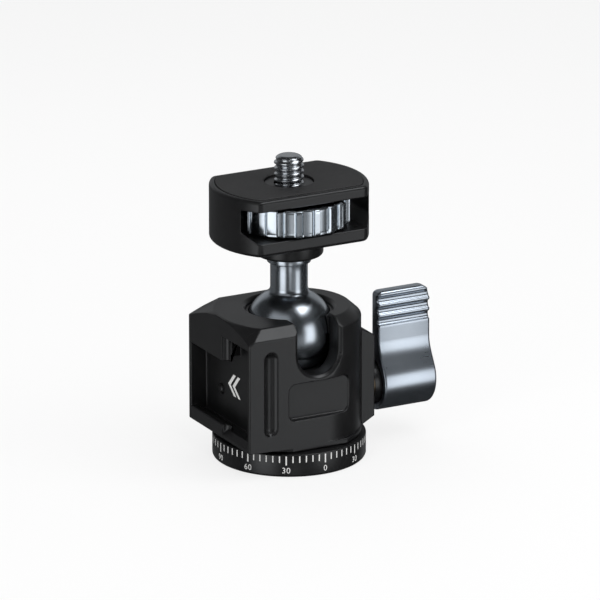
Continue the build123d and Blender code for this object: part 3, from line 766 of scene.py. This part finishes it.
# pieces that are shown as the CAD made them, with their finishes
keptFinish = {
    "pan_spindle": brightSteel, "pan_nut": brightSteel, "friction_washer": acetal,
    "bottom_plug": blackAnodised, "socket_liner": acetal, "seat_cup": acetal, "shaft_bush": bronze,
    "cam_shaft": brightSteel, "lever_washer": blackAnodised, "lever_screw": brightSteel,
    "slot_plunger": blackAnodised, "plunger_spring": brightSteel, "collar_screws": brightSteel,
    "wheel_grub": brightSteel, "wheel_washer": acetal,
}
for node, material in keptFinish.items():
    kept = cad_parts[node]
    kept.data.materials.clear()
    kept.data.materials.append(material)


room = {
    "azimuth": -28, "elevation": 18, "lens": 400, "sensor": 36, "near": 0.01, "far": 20,
    "pixels": 600, "pixel": 1 / 4.72, "aside": 11, "aimHeight": 34.1,
    "floorHalf": 3000, "floorDrop": 0.02, "floorColour": 0.9, "floorRough": 0.9,
    "floorGlow": 0.96, "glowShare": 0.8,
}


def makeFloor():
    # a plain square just under the foot
    half, down = room["floorHalf"], -room["floorDrop"]
    corners = [(-half, -half, down), (half, -half, down), (half, half, down), (-half, half, down)]
    floor = meshFrom("floor", corners, [[0, 1, 2, 3]], mend=False)
    material = bpy.data.materials.new("floorPale")
    material.use_nodes = True
    nodes, links = material.node_tree.nodes, material.node_tree.links
    shader = nodes["Principled BSDF"]
    shader.inputs["Base Color"].default_value = (*[room["floorColour"]] * 3, 1)
    shader.inputs["Roughness"].default_value = room["floorRough"]
    # the camera sees a floor that is nearly white, and the mix keeps the shadow on it
    path = nodes.new("ShaderNodeLightPath")
    glow = nodes.new("ShaderNodeEmission")
    glow.inputs["Color"].default_value = (1, 1, 1, 1)
    glow.inputs["Strength"].default_value = room["floorGlow"]
    mix = nodes.new("ShaderNodeMixShader")
    share = nodes.new("ShaderNodeMath")
    share.operation = "MULTIPLY"
    share.inputs[1].default_value = room["glowShare"]
    links.new(path.outputs["Is Camera Ray"], share.inputs[0])
    links.new(share.outputs[0], mix.inputs["Fac"])
    links.new(shader.outputs[0], mix.inputs[1])
    links.new(glow.outputs[0], mix.inputs[2])
    links.new(mix.outputs[0], nodes["Material Output"].inputs["Surface"])
    floor.data.materials.append(material)
    floor.visible_glossy = False


def mathNode(nodes, links, operation, *values):
    # a number or a socket for each input
    node = nodes.new("ShaderNodeMath")
    node.operation = operation
    for k, value in enumerate(values):
        if isinstance(value, (int, float)):
            node.inputs[k].default_value = value
        else:
            links.new(value, node.inputs[k])
    return node.outputs[0]


def softEdge(nodes, links, angle, middle, half, soft):
    # one inside the half width, falling smoothly to nothing over the soft width
    off = mathNode(nodes, links, "SUBTRACT", angle, math.radians(middle))
    wrapped = mathNode(nodes, links, "WRAP", off, math.pi, -math.pi)
    distance = mathNode(nodes, links, "ABSOLUTE", wrapped)
    fall = nodes.new("ShaderNodeMapRange")
    fall.interpolation_type = "SMOOTHSTEP"
    fall.inputs["From Min"].default_value = math.radians(half + soft)
    fall.inputs["From Max"].default_value = math.radians(half)
    links.new(distance, fall.inputs["Value"])
    return fall.outputs["Result"]


# soft boxes painted on the world, which only reflections see, over a dim ground; each is
# azimuth from the front towards the lever, elevation, half width, half height, soft width
# and strength, with angles in degrees
studio = {
    "level": 0.72, "dim": 0.035, "behind": 0.97, "tint": (0.95, 0.975, 1.0),
    "boxes": [
        (28, 0, 8, 15, 9, 1.7),
        (4, -14, 12, 10, 8, 0.20),
        (-66, -4, 12, 20, 9, 1.6),
        (-20, -23, 5, 4, 4, 1.1),
        (50, 62, 26, 9, 9, 3.5),
        (-60, 42, 30, 6, 10, 0.4),
        (152, 20, 34, 10, 14, 0.29),
        (-156, -12, 34, 26, 14, 0.09),
        (122, -12, 8, 16, 8, 0.22),
    ],
}


def makeWorld():
    # plain light for diffuse rays, the soft boxes for glossy rays, a pale ground for the camera
    world = bpy.data.worlds.new("studio")
    bpy.context.scene.world = world
    world.use_nodes = True
    world.cycles.sampling_method = "NONE"
    nodes, links = world.node_tree.nodes, world.node_tree.links
    plain = nodes["Background"]
    plain.inputs["Color"].default_value = (1, 1, 1, 1)
    plain.inputs["Strength"].default_value = studio["level"]
    seen = nodes.new("ShaderNodeBackground")
    seen.inputs["Color"].default_value = (*[studio["behind"]] * 3, 1)
    coords = nodes.new("ShaderNodeTexCoord")
    split = nodes.new("ShaderNodeSeparateXYZ")
    links.new(coords.outputs["Generated"], split.inputs[0])
    towards = mathNode(nodes, links, "MULTIPLY", split.outputs["Y"], -1.0)
    azimuth = mathNode(nodes, links, "ARCTAN2", split.outputs["X"], towards)
    elevation = mathNode(nodes, links, "ARCSINE", split.outputs["Z"])
    total = mathNode(nodes, links, "ADD", 0.0, studio["dim"])
    for where, height, halfWide, halfHigh, soft, strength in studio["boxes"]:
        wide = softEdge(nodes, links, azimuth, where, halfWide, soft)
        high = softEdge(nodes, links, elevation, height, halfHigh, soft)
        both = mathNode(nodes, links, "MULTIPLY", wide, high)
        total = mathNode(nodes, links, "MULTIPLY_ADD", both, strength, total)
    boxes = nodes.new("ShaderNodeBackground")
    boxes.inputs["Color"].default_value = (*studio["tint"], 1)
    links.new(total, boxes.inputs["Strength"])
    path = nodes.new("ShaderNodeLightPath")
    glossy = nodes.new("ShaderNodeMixShader")
    mix = nodes.new("ShaderNodeMixShader")
    links.new(path.outputs["Is Glossy Ray"], glossy.inputs["Fac"])
    links.new(plain.outputs[0], glossy.inputs[1])
    links.new(boxes.outputs[0], glossy.inputs[2])
    links.new(path.outputs["Is Camera Ray"], mix.inputs["Fac"])
    links.new(glossy.outputs[0], mix.inputs[1])
    links.new(seen.outputs[0], mix.inputs[2])
    links.new(mix.outputs[0], nodes["World Output"].inputs["Surface"])


# azimuth, elevation, distance, width, height and power; reflections don't see them
lamps = {
    "keyAbove": (20, 62, 300, 260, 200, 0.42),
    "frontRight": (50, 25, 320, 120, 260, 0.16),
    "frontLeft": (-60, 35, 360, 90, 260, 0.2),
    "backRim": (165, 40, 320, 260, 120, 0.2),
}


def direction(azimuth, elevation):
    # azimuth counts from the front (-Y) towards the lever (+X)
    a, e = math.radians(azimuth), math.radians(elevation)
    return np.array([math.sin(a) * math.cos(e), -math.cos(a) * math.cos(e), math.sin(e)])


def addLamp(name, azimuth, elevation, distance, width, height, power):
    lamp = bpy.data.lights.new(name, "AREA")
    lamp.shape = "RECTANGLE"
    lamp.size, lamp.size_y = width * mm, height * mm
    lamp.energy = power
    holder = bpy.data.objects.new(name, lamp)
    bpy.context.scene.collection.objects.link(holder)
    away = direction(azimuth, elevation)
    aim = np.array([0, 0, room["aimHeight"]])
    holder.location = tuple((aim + away * distance) * mm)
    holder.visible_glossy = False
    pointAt(holder, away)


def pointAt(holder, away):
    # the holder looks back along the direction that leads away from what it looks at
    holder.rotation_mode = "QUATERNION"
    holder.rotation_quaternion = Vector(tuple(-away)).to_track_quat("-Z", "Y")


def makeCamera():
    # the distance at which one pixel of the sensor covers the pixel's size at the axis
    data = bpy.data.cameras.new("camera")
    data.lens = room["lens"]
    data.sensor_width = room["sensor"]
    data.clip_start, data.clip_end = room["near"], room["far"]
    holder = bpy.data.objects.new("camera", data)
    bpy.context.scene.collection.objects.link(holder)
    away = direction(room["azimuth"], room["elevation"])
    turn = math.radians(room["azimuth"])
    right = np.array([math.cos(turn), math.sin(turn), 0])
    distance = room["pixels"] * room["pixel"] * room["lens"] / room["sensor"]
    aim = np.array([0, 0, room["aimHeight"]]) + right * room["aside"] * room["pixel"]
    holder.location = tuple((aim + away * distance) * mm)
    pointAt(holder, away)
    bpy.context.scene.camera = holder


makeFloor()
makeWorld()
for name, lampValues in lamps.items():
    addLamp(name, *lampValues)
makeCamera()
bpy.context.scene.view_settings.view_transform = "Standard"

print("scene made")
